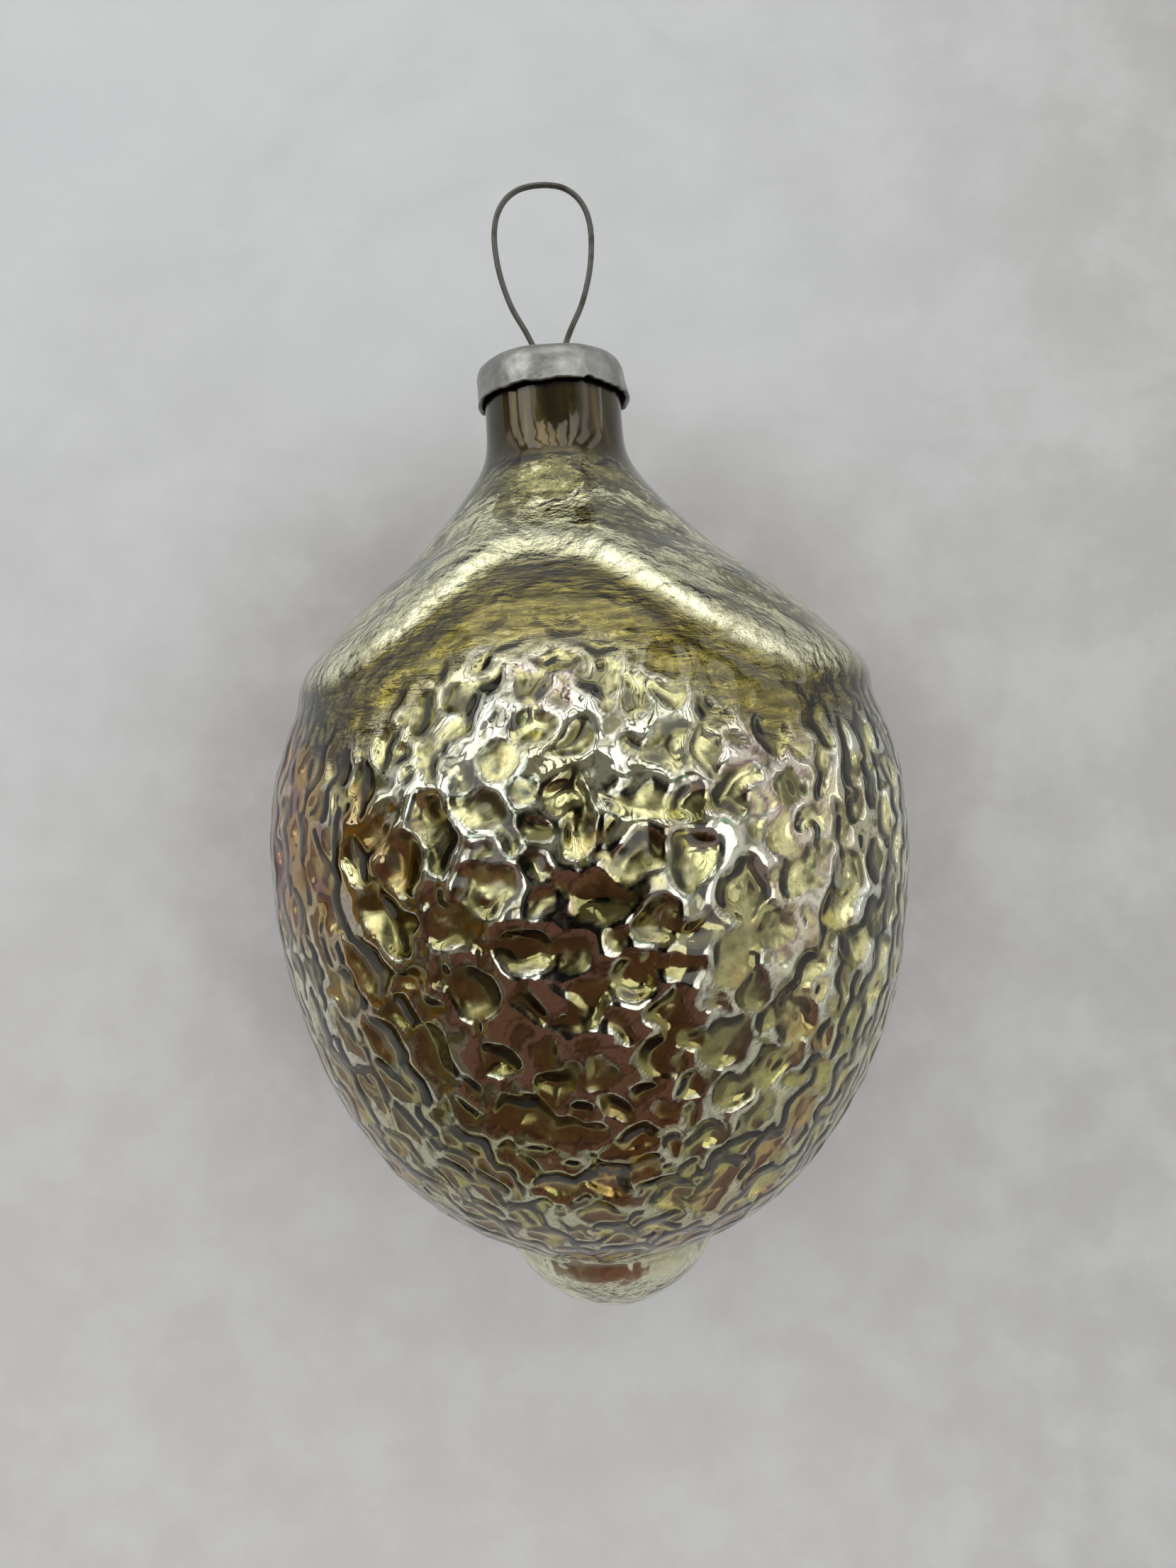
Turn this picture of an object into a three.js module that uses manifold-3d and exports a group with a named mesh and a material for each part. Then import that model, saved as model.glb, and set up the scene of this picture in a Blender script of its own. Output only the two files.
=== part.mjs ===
// A silvered glass lemon for a Christmas tree, hanging by its wire loop.
//
// Millimetres, +Z up. The origin is where a hook bears on the inside of the loop's crown, and the
// ornament hangs straight down from it along -Z. Its front is towards -Y and its right towards +X.
//
// Three pieces: the blown glass shell with its open neck, the pressed aluminium cap over the neck,
// and one bent wire whose two legs go through the cap and spread inside the neck to hold it there.

import * as THREE from 'three';
import Module from 'manifold-3d';
import { mergeVertices } from 'three/addons/utils/BufferGeometryUtils.js';

const wasm = await Module();
wasm.setup();

// ---- Driving dimensions ----

const clearance = 0.3; // between pieces that touch on the real ornament

const wire = {
  diameter: 0.45,
  halfWidth: 3.75, // of the loop at its widest, to the wire's centre line
  widestZ: -4.1,
  crownPower: 2.4, // 2 would be half an ellipse, and more is blunter
  legX: 0.8, // where a leg passes through the cap
  tipX: 4.05, // where it ends, close to the neck's inner wall
  tipZ: -26.5,
};

const cap = {
  topZ: -13.75,
  height: 3.1,
  radius: 6.0,
  taper: 0.15, // how much narrower the skirt is at its shoulder than at its rim
  shoulder: 1.3, // radius of the rolled edge
  sheet: 0.3,
  holeRadius: 0.45,
};

const glass = {
  wall: 0.6,
  neckRadius: 5.25,
  neckTopZ: cap.topZ - cap.sheet - clearance,
};

// The smooth hood of glass drawn out between the mould and the neck. It ends in a lip, high at the
// front and the back and low at the sides, and the lemon swells out from under it.
const hood = {
  startZ: -21.0,
  softness: 0.78, // of its start at the neck
  power: 1.2, // 1 would be a straight flare, and more is hollower
  frontEndZ: -30.6,
  sideEndZ: -38.6,
  tilt: 0.6, // how much lower the lip is on the right, and higher on the left
  lip: 1.15, // how far the lip stands out from the lemon, before it is rounded off
  lipFall: 0.9, // how fast the hood dives under the lemon below its lip
  lipBlend: 3.2, // roundness of the lip at the sides
  frontBlend: 1.4, // how much rounder it is at the front
  frontLift: 0.35, // and how much further out it starts there, to make up for the rounding
  frontFrom: THREE.MathUtils.degToRad(45), // that extra roundness fades out between these
  frontTo: THREE.MathUtils.degToRad(85),
  archFrom: THREE.MathUtils.degToRad(5), // the lip drops from the front to the side between these
  archTo: THREE.MathUtils.degToRad(48),
  frontAngle: THREE.MathUtils.degToRad(-6), // where the mould's front half faces, right of -Y
  pinchDepth: 1.0, // the front and the back are pinched in above the lip
  pinchPower: 14,
  pinchMiddleZ: -26.5,
  pinchHalfHeight: 4.5,
};

// The moulded lemon: a round upper end, a longer lower end and a blunt tip
const lemon = {
  radius: 24.0,
  middleZ: -50.15,
  upperLength: 23.4,
  lowerLength: 31.5,
  lowerPower: 2.1, // 2 would be an ellipse, and more is blunter
  sideways: 0.8, // how far the lemon sits off the neck's axis, to the right
};

const tip = {
  radius: 9.6,
  middleZ: -73.95,
  length: 12.0,
};

const creaseBlend = 1.6; // softness of the crease between hood and lemon
const tipBlend = 0.9;

const around = { glass: 48, cap: 40, wire: 8 };
const rings = { outside: 46, inside: 28 };

// ---- The glass's outer shape ----

const clamp = THREE.MathUtils.clamp;
const smoothstep = THREE.MathUtils.smoothstep;

/** The larger of two lengths, rounded off where they meet. */
function smoothMax(a, b, blend) {
  const share = clamp(0.5 + (0.5 * (a - b)) / blend, 0, 1);
  return b + (a - b) * share + blend * share * (1 - share);
}

/** The smaller of two lengths, rounded off where they meet. */
function smoothMin(a, b, blend) {
  return -smoothMax(-a, -b, blend);
}

function lemonRadius(z) {
  const upper = z > lemon.middleZ;
  const length = upper ? lemon.upperLength : lemon.lowerLength;
  const power = upper ? 2 : lemon.lowerPower;
  const along = Math.min(Math.abs(z - lemon.middleZ) / length, 1);
  return lemon.radius * (1 - along ** power) ** (1 / power);
}

function tipRadius(z) {
  const along = clamp((z - tip.middleZ) / tip.length, -1, 1);
  return tip.radius * Math.sqrt(1 - along * along);
}

/** How much the hood has widened at a height, before it is scaled to reach its lip. */
function hoodWidening(z) {
  return hood.softness * Math.log1p(Math.exp((hood.startZ - z) / hood.softness));
}

function hoodRadius(angle, z) {
  const facing = Math.abs(Math.cos(angle - hood.frontAngle));
  const fromFront = Math.acos(Math.min(facing, 1));
  const arch = smoothstep(fromFront, hood.archFrom, hood.archTo);
  const endZ = hood.frontEndZ + (hood.sideEndZ - hood.frontEndZ) * arch - hood.tilt * Math.sin(angle);
  const front = 1 - smoothstep(fromFront, hood.frontFrom, hood.frontTo);
  const lipRadius = lemonRadius(endZ) + hood.lip + hood.frontLift * front;
  const opened = (hoodWidening(z) / hoodWidening(endZ)) ** hood.power;
  const offPinch = clamp((z - hood.pinchMiddleZ) / hood.pinchHalfHeight, -1, 1);
  const pinch = hood.pinchDepth * facing ** hood.pinchPower * (1 - offPinch * offPinch) ** 2;
  const above = glass.neckRadius + (lipRadius - glass.neckRadius) * opened - pinch;
  const below = lipRadius - hood.lipFall * (endZ - z);
  return smoothMin(above, below, hood.lipBlend + hood.frontBlend * front);
}

/** The outer radius at an angle (0 at the front, growing to the right) and a height. */
function glassRadius(angle, z) {
  const body = smoothMax(hoodRadius(angle, z), lemonRadius(z), creaseBlend);
  return Math.max(smoothMax(body, tipRadius(z), tipBlend), 0);
}

/** How far the glass's centre is from the neck's axis at a height. */
function glassCentreX(z) {
  return lemon.sideways * smoothstep(-z, -hood.startZ, -hood.sideEndZ);
}

const sideAngle = Math.PI / 2;
const tipEndZ = tip.middleZ - tip.length;

/** The side outline as evenly spaced points, from the tip's end up to the neck's top. */
function sideOutline(count) {
  const fine = 400;
  const points = [];
  for (let i = 0; i <= fine; i++) {
    const z = tipEndZ + (glass.neckTopZ - tipEndZ) * (1 - Math.cos((i / fine) * sideAngle));
    points.push(new THREE.Vector2(i === 0 ? 0 : glassRadius(sideAngle, z), z));
  }
  return new THREE.SplineCurve(points).getSpacedPoints(count);
}

/** The outline moved in by the wall's thickness, ending level with the neck's top. */
function innerOutline(count) {
  const outline = sideOutline(count);
  return outline.map((point, i) => {
    const before = outline[Math.max(i - 1, 0)];
    const after = outline[Math.min(i + 1, count)];
    const along = after.clone().sub(before).normalize();
    const inward = new THREE.Vector2(-along.y, along.x).multiplyScalar(glass.wall);
    if (i === 0) return new THREE.Vector2(0, point.y + glass.wall);
    if (i === count) return new THREE.Vector2(point.x - glass.wall, point.y);
    return point.clone().add(inward);
  });
}

// ---- Geometry helpers ----

/** A lathe turned about Z, with its shared points merged. */
function latheAboutZ(profile, segments) {
  const geometry = new THREE.LatheGeometry(profile, segments);
  geometry.rotateX(Math.PI / 2);
  return positionsOnly(geometry);
}

/** Merges shared points, and drops the triangles that a lathe folds flat onto its axis. */
function positionsOnly(geometry) {
  geometry.deleteAttribute('normal');
  geometry.deleteAttribute('uv');
  const merged = mergeVertices(geometry, 1e-4);
  const corners = merged.index.array;
  const kept = [];
  for (let i = 0; i < corners.length; i += 3) {
    const [a, b, c] = corners.subarray(i, i + 3);
    if (a !== b && b !== c && c !== a) kept.push(a, b, c);
  }
  merged.setIndex(kept);
  return merged;
}

function toSolid(geometry) {
  const merged = positionsOnly(geometry);
  return new wasm.Manifold(
    new wasm.Mesh({
      numProp: 3,
      vertProperties: new Float32Array(merged.attributes.position.array),
      triVerts: new Uint32Array(merged.index.array),
    }),
  );
}

function toGeometry(solid) {
  const { vertProperties, triVerts } = solid.getMesh();
  const geometry = new THREE.BufferGeometry();
  geometry.setAttribute('position', new THREE.BufferAttribute(new Float32Array(vertProperties), 3));
  geometry.setIndex(new THREE.BufferAttribute(new Uint32Array(triVerts), 1));
  return geometry;
}

function namedMesh(name, geometry, look) {
  geometry.computeVertexNormals();
  const mesh = new THREE.Mesh(geometry, new THREE.MeshStandardMaterial(look));
  mesh.name = name;
  return mesh;
}

// ---- The pieces ----

/** The blown shell: turned from the side outline, then pinched and pushed sideways. */
function makeGlassBody() {
  const profile = [...sideOutline(rings.outside), ...innerOutline(rings.inside).reverse()];
  const geometry = latheAboutZ(profile, around.glass);
  const position = geometry.attributes.position;
  for (let i = 0; i < position.count; i++) {
    const x = position.getX(i);
    const y = position.getY(i);
    const z = position.getZ(i);
    const radius = Math.hypot(x, y);
    if (radius < 1e-3) continue;
    const angle = Math.atan2(x, -y);
    const relief = glassRadius(angle, z) - glassRadius(sideAngle, z);
    const scale = (radius + relief) / radius;
    position.setXYZ(i, x * scale + glassCentreX(z), y * scale, z);
  }
  return namedMesh('glass_body', geometry, { color: 0xb9b27a, roughness: 0.12, metalness: 1.0 });
}

/** The pressed cup, with a rolled shoulder, a skirt that opens a little and two punched holes. */
function makeCap() {
  const shoulderR = cap.radius - cap.taper - cap.shoulder;
  const inner = cap.shoulder - cap.sheet;
  const rimZ = cap.topZ - cap.height;
  const outline = new THREE.Path();
  outline.moveTo(0, cap.topZ - cap.sheet);
  outline.lineTo(shoulderR, cap.topZ - cap.sheet);
  outline.absarc(shoulderR, cap.topZ - cap.shoulder, inner, Math.PI / 2, 0, true);
  outline.lineTo(cap.radius - cap.sheet, rimZ);
  outline.lineTo(cap.radius, rimZ);
  outline.absarc(shoulderR, cap.topZ - cap.shoulder, cap.shoulder, 0, Math.PI / 2, false);
  outline.lineTo(0, cap.topZ);
  const arcSteps = 4;
  let solid = toSolid(latheAboutZ(outline.getPoints(arcSteps), around.cap));
  for (const side of [-1, 1]) {
    const punch = new THREE.CylinderGeometry(cap.holeRadius, cap.holeRadius, 4 * cap.sheet, 16);
    punch.rotateX(Math.PI / 2);
    punch.translate(side * wire.legX, 0, cap.topZ - cap.sheet / 2);
    solid = solid.subtract(toSolid(punch));
  }
  return namedMesh('cap', toGeometry(solid), { color: 0xb5b3b0, roughness: 0.45, metalness: 0.9 });
}

/** Half of the wire's centre line, from beside the crown down one side to the leg's tip. */
function wireHalf(side) {
  const crownHeight = wire.diameter / 2 - wire.widestZ;
  const power = 2 / wire.crownPower;
  const crown = [72, 54, 36, 18, 0].map((degrees) => {
    const turn = THREE.MathUtils.degToRad(degrees);
    return [wire.halfWidth * Math.cos(turn) ** power, wire.widestZ + crownHeight * Math.sin(turn) ** power];
  });
  const sideAndLeg = [
    [3.49, -6.5],
    [2.77, -9.0],
    [1.73, -11.1],
    [1.1, -12.6],
    [wire.legX, cap.topZ],
    [wire.legX + 0.25, cap.topZ - 1.4],
    [wire.tipX - 1.15, wire.tipZ + 4.6],
    [wire.tipX, wire.tipZ],
  ];
  return [...crown, ...sideAndLeg].map(([x, z]) => new THREE.Vector3(side * x, 0, z));
}

/** One bent wire: the hanging loop, the two legs through the cap, and their spread ends. */
function makeWireHanger() {
  const crown = new THREE.Vector3(0, 0, wire.diameter / 2);
  const route = new THREE.CatmullRomCurve3([...wireHalf(-1).reverse(), crown, ...wireHalf(1)]);
  const section = new THREE.Shape();
  section.absarc(0, 0, wire.diameter / 2, 0, 2 * Math.PI, false);
  const geometry = new THREE.ExtrudeGeometry(section, {
    curveSegments: around.wire / 2,
    steps: 68,
    bevelEnabled: false,
    extrudePath: route,
  });
  return namedMesh('wire_hanger', positionsOnly(geometry), { color: 0x55554f, roughness: 0.4, metalness: 0.9 });
}

const group = new THREE.Group();
group.add(makeGlassBody(), makeCap(), makeWireHanger());

export default group;
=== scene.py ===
"""A silvered glass lemon ornament with its pressed cap and wire loop, in front of a sheet of white paper.

Lengths are in millimetres until a mesh is made, where MM turns them into metres. +Z is up, the
origin is where a hook bears on the wire loop, and the ornament's front faces -Y.
"""

import math

import bpy
import numpy as np
from mathutils import Matrix, Vector


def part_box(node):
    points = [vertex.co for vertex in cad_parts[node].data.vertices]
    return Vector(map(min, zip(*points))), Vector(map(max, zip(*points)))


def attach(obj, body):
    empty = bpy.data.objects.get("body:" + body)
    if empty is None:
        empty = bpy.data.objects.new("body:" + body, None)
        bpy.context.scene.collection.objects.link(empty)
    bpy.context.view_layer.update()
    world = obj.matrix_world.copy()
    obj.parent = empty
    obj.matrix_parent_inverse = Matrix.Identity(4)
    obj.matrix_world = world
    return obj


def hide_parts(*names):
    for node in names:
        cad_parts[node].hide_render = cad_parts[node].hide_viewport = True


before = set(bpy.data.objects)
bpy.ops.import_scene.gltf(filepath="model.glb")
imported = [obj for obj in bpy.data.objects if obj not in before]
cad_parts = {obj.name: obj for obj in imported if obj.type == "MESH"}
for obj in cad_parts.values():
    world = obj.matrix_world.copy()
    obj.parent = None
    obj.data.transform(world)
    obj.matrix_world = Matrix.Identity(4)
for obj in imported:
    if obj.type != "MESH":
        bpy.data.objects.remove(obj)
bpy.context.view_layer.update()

MM = 0.001

# ---- Sizes read from the frame ----


def box_mm(node):
    """The lowest and highest corners of a CAD node, in millimetres."""
    low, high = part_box(node)
    return np.array(low) / MM, np.array(high) / MM


glass_low, glass_high = box_mm("glass_body")
cap_low, cap_high = box_mm("cap")
wire_low, wire_high = box_mm("wire_hanger")

NECK_TOP = glass_high[2]
TIP_END = glass_low[2]
BELLY_RADIUS = (glass_high[1] - glass_low[1]) / 2
BELLY_SIDEWAYS = (glass_high[0] + glass_low[0]) / 2
CAP_TOP, CAP_RIM = cap_high[2], cap_low[2]
CAP_RADIUS = (cap_high[1] - cap_low[1]) / 2
WIRE_RADIUS = (wire_high[1] - wire_low[1]) / 2
LEG_END = wire_low[2]

# ---- The glass's shape, as the CAD part has it ----

WALL = 0.6
NECK_RADIUS = 5.25

HOOD_START = -21.0  # where the neck begins to widen
HOOD_SOFTNESS = 0.78  # of the bend there
HOOD_POWER = 1.2
HOOD_FRONT_END = -30.6  # the height of the hood's lip at the front and the back
HOOD_SIDE_END = -38.6  # and at the sides
HOOD_TILT = 0.6  # how much lower the lip is on the right
HOOD_LIP = 1.15  # how far the lip stands out from the lemon
HOOD_LIP_FALL = 0.9  # how fast it falls back below
HOOD_LIP_BLEND = 3.2
HOOD_FRONT_BLEND = 1.4  # how much rounder the lip is at the front
HOOD_FRONT_TO = (math.radians(45), math.radians(85))  # where that roundness fades out
ARCH_FROM, ARCH_TO = math.radians(5), math.radians(48)
FRONT_ANGLE = math.radians(-6)  # the way the mould's front faces
PINCH_DEPTH, PINCH_POWER = 1.0, 14  # the hood is pinched in along the mould's front and back
PINCH_MIDDLE, PINCH_HALF_HEIGHT = -26.5, 4.5

LEMON_MIDDLE = -50.15
LEMON_UPPER, LEMON_LOWER = 23.4, 31.5
LEMON_LOWER_POWER = 2.1

TIP_RADIUS = 9.6
TIP_LENGTH = 12.0
TIP_MIDDLE = TIP_END + TIP_LENGTH

CREASE_BLEND = 1.6  # between the hood and the lemon
TIP_BLEND = 0.9  # between the lemon and its tip


def smooth_max(a, b, blend):
    share = np.clip(0.5 + 0.5 * (a - b) / blend, 0, 1)
    return b + (a - b) * share + blend * share * (1 - share)


def smooth_min(a, b, blend):
    return -smooth_max(-a, -b, blend)


def smoothstep(x, low, high):
    t = np.clip((x - low) / (high - low), 0, 1)
    return t * t * (3 - 2 * t)


def neck_share(z):
    """One on the neck and zero on the body, as a column beside the rings."""
    return smoothstep(z, HOOD_START - 1.5, HOOD_START + 1.0)[:, None]


def from_front(angle):
    """The angle from the nearer of the mould's front and back, from 0 to a quarter turn."""
    return np.arccos(np.clip(np.abs(np.cos(angle - FRONT_ANGLE)), 0, 1))


def lip_height(angle):
    """The height at which the hood ends in its lip: an arch over the front and the back."""
    arch = smoothstep(from_front(angle), ARCH_FROM, ARCH_TO)
    return HOOD_FRONT_END + (HOOD_SIDE_END - HOOD_FRONT_END) * arch - HOOD_TILT * np.sin(angle)


def lemon_radius(z):
    """Two half ovals, of unlike height, that meet at the lemon's middle."""
    upper = z > LEMON_MIDDLE
    power = np.where(upper, 2.0, LEMON_LOWER_POWER)
    along = np.minimum(np.abs(z - LEMON_MIDDLE) / np.where(upper, LEMON_UPPER, LEMON_LOWER), 1)
    return BELLY_RADIUS * (1 - along**power) ** (1 / power)


def tip_radius(z):
    along = np.clip((z - TIP_MIDDLE) / TIP_LENGTH, -1, 1)
    return TIP_RADIUS * np.sqrt(1 - along**2)


def hood_widening(z):
    """How far down the hood a height is, with a soft start at the neck."""
    return HOOD_SOFTNESS * np.log1p(np.exp((HOOD_START - z) / HOOD_SOFTNESS))


def hood_radius(angle, z):
    """The neck, widening to the lip and falling back below it."""
    end = lip_height(angle)
    rounder = HOOD_FRONT_BLEND * (1 - smoothstep(from_front(angle), *HOOD_FRONT_TO))
    lip = lemon_radius(end) + HOOD_LIP + rounder / 4
    opened = (hood_widening(z) / hood_widening(end)) ** HOOD_POWER
    off_pinch = np.clip((z - PINCH_MIDDLE) / PINCH_HALF_HEIGHT, -1, 1)
    pinch = PINCH_DEPTH * np.cos(from_front(angle)) ** PINCH_POWER * (1 - off_pinch**2) ** 2
    above = NECK_RADIUS + (lip - NECK_RADIUS) * opened - pinch
    return smooth_min(above, lip - HOOD_LIP_FALL * (end - z), HOOD_LIP_BLEND + rounder)


def glass_radius(angle, z):
    """The whole outline: neck and hood, lemon, and tip."""
    body = smooth_max(hood_radius(angle, z), lemon_radius(z), CREASE_BLEND)
    return np.maximum(smooth_max(body, tip_radius(z), TIP_BLEND), 0)


def glass_centre_x(z):
    """The body stands a little to one side of the neck."""
    return BELLY_SIDEWAYS * smoothstep(-z, -HOOD_START, -HOOD_SIDE_END)


# ---- Mesh helpers ----


def grid_faces(rows, columns, first=0, closed=True):
    """Quads between rows of points, each row a ring when closed."""
    row = np.arange(rows - 1)[:, None] * columns
    column = np.arange(columns if closed else columns - 1)[None, :]
    after = (column + 1) % columns
    a, b = row + column, row + after
    return (np.stack([a, b, b + columns, a + columns], -1) + first).reshape(-1, 4)


def end_faces(rows, columns, near, far, first=0):
    """Triangles that close both ends of a tube of rings, each around its own centre point."""
    ring = np.arange(columns)
    after = (ring + 1) % columns
    last = first + (rows - 1) * columns
    return np.concatenate([
        np.stack([np.full_like(ring, near), first + after, first + ring], -1),
        np.stack([np.full_like(ring, far), last + ring, last + after], -1),
    ])


def make_mesh(name, points, quads, triangles=()):
    """An object from points in millimetres, quads and triangles, shaded smooth."""
    quads = np.asarray(quads, np.int32).reshape(-1, 4)
    triangles = np.asarray(triangles, np.int32).reshape(-1, 3)
    mesh = bpy.data.meshes.new(name)
    mesh.vertices.add(len(points))
    mesh.vertices.foreach_set("co", (np.asarray(points) * MM).astype(np.float32).ravel())
    mesh.loops.add(quads.size + triangles.size)
    mesh.loops.foreach_set("vertex_index", np.concatenate([quads.ravel(), triangles.ravel()]))
    sizes = np.concatenate([np.full(len(quads), 4), np.full(len(triangles), 3)])
    mesh.polygons.add(len(sizes))
    mesh.polygons.foreach_set("loop_start", np.concatenate([[0], np.cumsum(sizes)[:-1]]).astype(np.int32))
    mesh.update(calc_edges=True)
    mesh.validate()
    mesh.shade_smooth()
    made = bpy.data.objects.new(name, mesh)
    bpy.context.scene.collection.objects.link(made)
    return made


def add_attribute(piece, name, values):
    attribute = piece.data.attributes.new(name, "FLOAT", "POINT")
    attribute.data.foreach_set("value", np.asarray(values, np.float32).ravel())


def waves(points, wavelength, seed, count=24):
    """Smooth noise of about -1 to 1: a sum of sine waves in random directions."""
    rng = np.random.default_rng(seed)
    directions = rng.normal(size=(count, 3))
    directions /= np.linalg.norm(directions, axis=1)[:, None]
    lengths = wavelength * rng.uniform(0.7, 1.5, count)
    phases = rng.uniform(0, 2 * math.pi, count)
    total = np.zeros(points.shape[:-1])
    for direction, length, phase in zip(directions, lengths, phases):
        total += np.sin(points @ (direction * 2 * math.pi / length) + phase)
    return total / math.sqrt(count / 2) * 0.6


# ---- The peel: pits pressed into the lemon ----

PIT_CLASSES = [  # smallest radius, largest radius, tries
    (1.3, 2.1, 6000),
    (0.8, 1.2, 9000),
    (0.5, 0.7, 9000),
]
PIT_SPACING = 0.8  # under 1 lets neighbours run into one another
PIT_SMALLER = 0.72  # the pits' size near the hood
PIT_FULL_Z = LEMON_MIDDLE - 4.0  # where they have grown to full size
PIT_SLOPE = 0.3  # depth over radius
PIT_RIM = 0.05  # roundness of a pit's edge
PIT_WARP = 0.42  # how far a pit's outline is bent
PIT_REACH = 1.7  # how far the bent and stretched pit can reach, over its radius
EYE_SHARE = 0.2  # how many pits have a raised middle
EYE_HEIGHT, EYE_WIDTH = 0.7, 0.12
PEEL_BOTTOM = 3.2  # it starts this far above the tip's end, and is whole at twice that
PEEL_UNDER_LIP = (4.6, 1.2)  # it stops this far below the hood's lip, at the front and at the sides
PEEL_OVER_START = 0.6  # how far above its start a pit's middle may lie
PEEL_SEED = 7


def peel_start(angle):
    """The height at which the peel starts, below the hood's lip."""
    front, side = PEEL_UNDER_LIP
    return lip_height(angle) - front + (front - side) * smoothstep(from_front(angle), 0.5, 1.1)


def scatter_pits(outline_z, outline_s):
    """Pits spread over the lemon, large ones first and smaller ones between them."""
    rng = np.random.default_rng(PEEL_SEED)
    centres, radii = np.zeros((0, 3)), np.zeros(0)
    pits = []
    for smallest, largest, tries in PIT_CLASSES:
        s = rng.uniform(outline_s[0], outline_s[-1], tries)
        angle = rng.uniform(-math.pi, math.pi, tries)
        z = np.interp(s, outline_s, outline_z)
        around = glass_radius(angle, z)
        thinned = rng.uniform(size=tries) < around / BELLY_RADIUS
        on_lemon = (z < peel_start(angle) + PEEL_OVER_START) & (z > TIP_END + 2 * PEEL_BOTTOM)
        points = np.stack([around * np.sin(angle), -around * np.cos(angle), z], -1)
        growth = PIT_SMALLER + (1 - PIT_SMALLER) * smoothstep(-z, -HOOD_SIDE_END, -PIT_FULL_Z)
        sizes = rng.uniform(smallest, largest, tries) * growth
        for k in np.flatnonzero(thinned & on_lemon):
            if len(radii):
                apart = np.linalg.norm(centres - points[k], axis=1)
                if (apart < PIT_SPACING * (radii + sizes[k])).any():
                    continue
            centres = np.vstack([centres, points[k]])
            radii = np.append(radii, sizes[k])
            pits.append({
                "s": s[k],
                "angle": angle[k],
                "radius": sizes[k],
                "stretch": rng.uniform(1.0, 1.5),
                "turn": rng.uniform(0, math.pi),
                "depth": rng.uniform(0.6, 1.25) * PIT_SLOPE * sizes[k],
                "eye": EYE_HEIGHT * (rng.uniform() < EYE_SHARE),
            })
    return pits


def press_pits(pits, s, angles, around, warp):
    """How deep each point of the grid is pressed in by the pits, in millimetres."""
    depth = np.zeros((len(s), len(angles)))
    step = 2 * math.pi / len(angles)
    for pit in pits:
        reach = pit["radius"] * PIT_REACH
        first, last = np.searchsorted(s, [pit["s"] - reach, pit["s"] + reach])
        if last - first < 2:
            continue
        width = reach / max(around[(first + last) // 2], 1.0)
        left, right = (pit["angle"] - width) / step, (pit["angle"] + width) / step
        columns = np.arange(math.floor(left), math.ceil(right) + 1)
        wrapped = np.mod(columns, len(angles))
        block = np.ix_(np.arange(first, last), wrapped)
        across = (columns * step - pit["angle"])[None, :] * around[first:last, None] + warp[0][block]
        along = (s[first:last] - pit["s"])[:, None] + warp[1][block]
        cos, sin = math.cos(pit["turn"]), math.sin(pit["turn"])
        u = (across * cos + along * sin) / (pit["radius"] * pit["stretch"] ** 0.5)
        v = (along * cos - across * sin) * pit["stretch"] ** 0.5 / pit["radius"]
        q = u * u + v * v
        bowl = (np.sqrt((1 - q) ** 2 + PIT_RIM**2) + 1 - q) / 2
        bowl = bowl - pit["eye"] * np.exp(-q / EYE_WIDTH)
        depth[block] = np.maximum(depth[block], pit["depth"] * bowl)
    return depth


# ---- The glass ----

GLASS_COLUMNS = 800
PEEL_STEP = 0.2  # between rings on the lemon
PLAIN_STEP = 0.7  # on the neck and the hood
BODY_THICKER = 0.25  # how much thicker the wall is below the neck
RIM_BEVEL = 0.35  # off the neck's top edge, which keeps it clear of the bend inside the cap
OUTER_SOFT, SILVER_SOFT = 3, 4  # how many times each face's relief is averaged
OUTER_SHARE = 0.42  # the outer face is less deeply pitted than the silvering under it
SILVER_DEPTH = 0.4  # how far the silvering lies under the glass's unpressed face
SILVER_BACK = 0.08  # between the silvering's back and the glass's inner face


def outline_rows():
    """Ring heights from the tip's end to the neck's top, and their distance along the outline."""
    side = math.pi / 2
    fine = np.linspace(0, 1, 4000)
    z = TIP_END + (NECK_TOP - TIP_END) * (1 - np.cos(fine * math.pi / 2))
    radius = glass_radius(side, z)
    radius[0] = 0
    s = np.concatenate([[0], np.cumsum(np.hypot(np.diff(radius), np.diff(z)))])
    step = np.where(z < HOOD_FRONT_END + 1, PEEL_STEP, PLAIN_STEP)
    counted = np.concatenate([[0], np.cumsum(np.diff(s) / step[1:])])
    wanted = np.linspace(0, counted[-1], int(counted[-1]) + 1)
    return np.interp(wanted, counted, z), np.interp(wanted, counted, s)


def surface_normals(points):
    """Outward normals of a ring grid, from the differences between neighbours."""
    around = np.roll(points, -1, axis=1) - np.roll(points, 1, axis=1)
    along = np.gradient(points, axis=0)
    normals = np.cross(around, along)
    return normals / np.maximum(np.linalg.norm(normals, axis=2, keepdims=True), 1e-9)


def peel_relief(wobble, pits):
    """The peel's depth: the pits, a slow swell, and raised folds that wander between the pits."""
    folds = np.exp(-((waves(wobble, 4.6, 16) / 0.2) ** 2)) * np.exp(-pits / 0.1)
    swell = 0.14 * (1 + waves(wobble, 8.0, 21)) + 0.05 * (1 + waves(wobble, 2.4, 22))
    return 0.12 + pits + swell - 0.10 * folds


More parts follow.
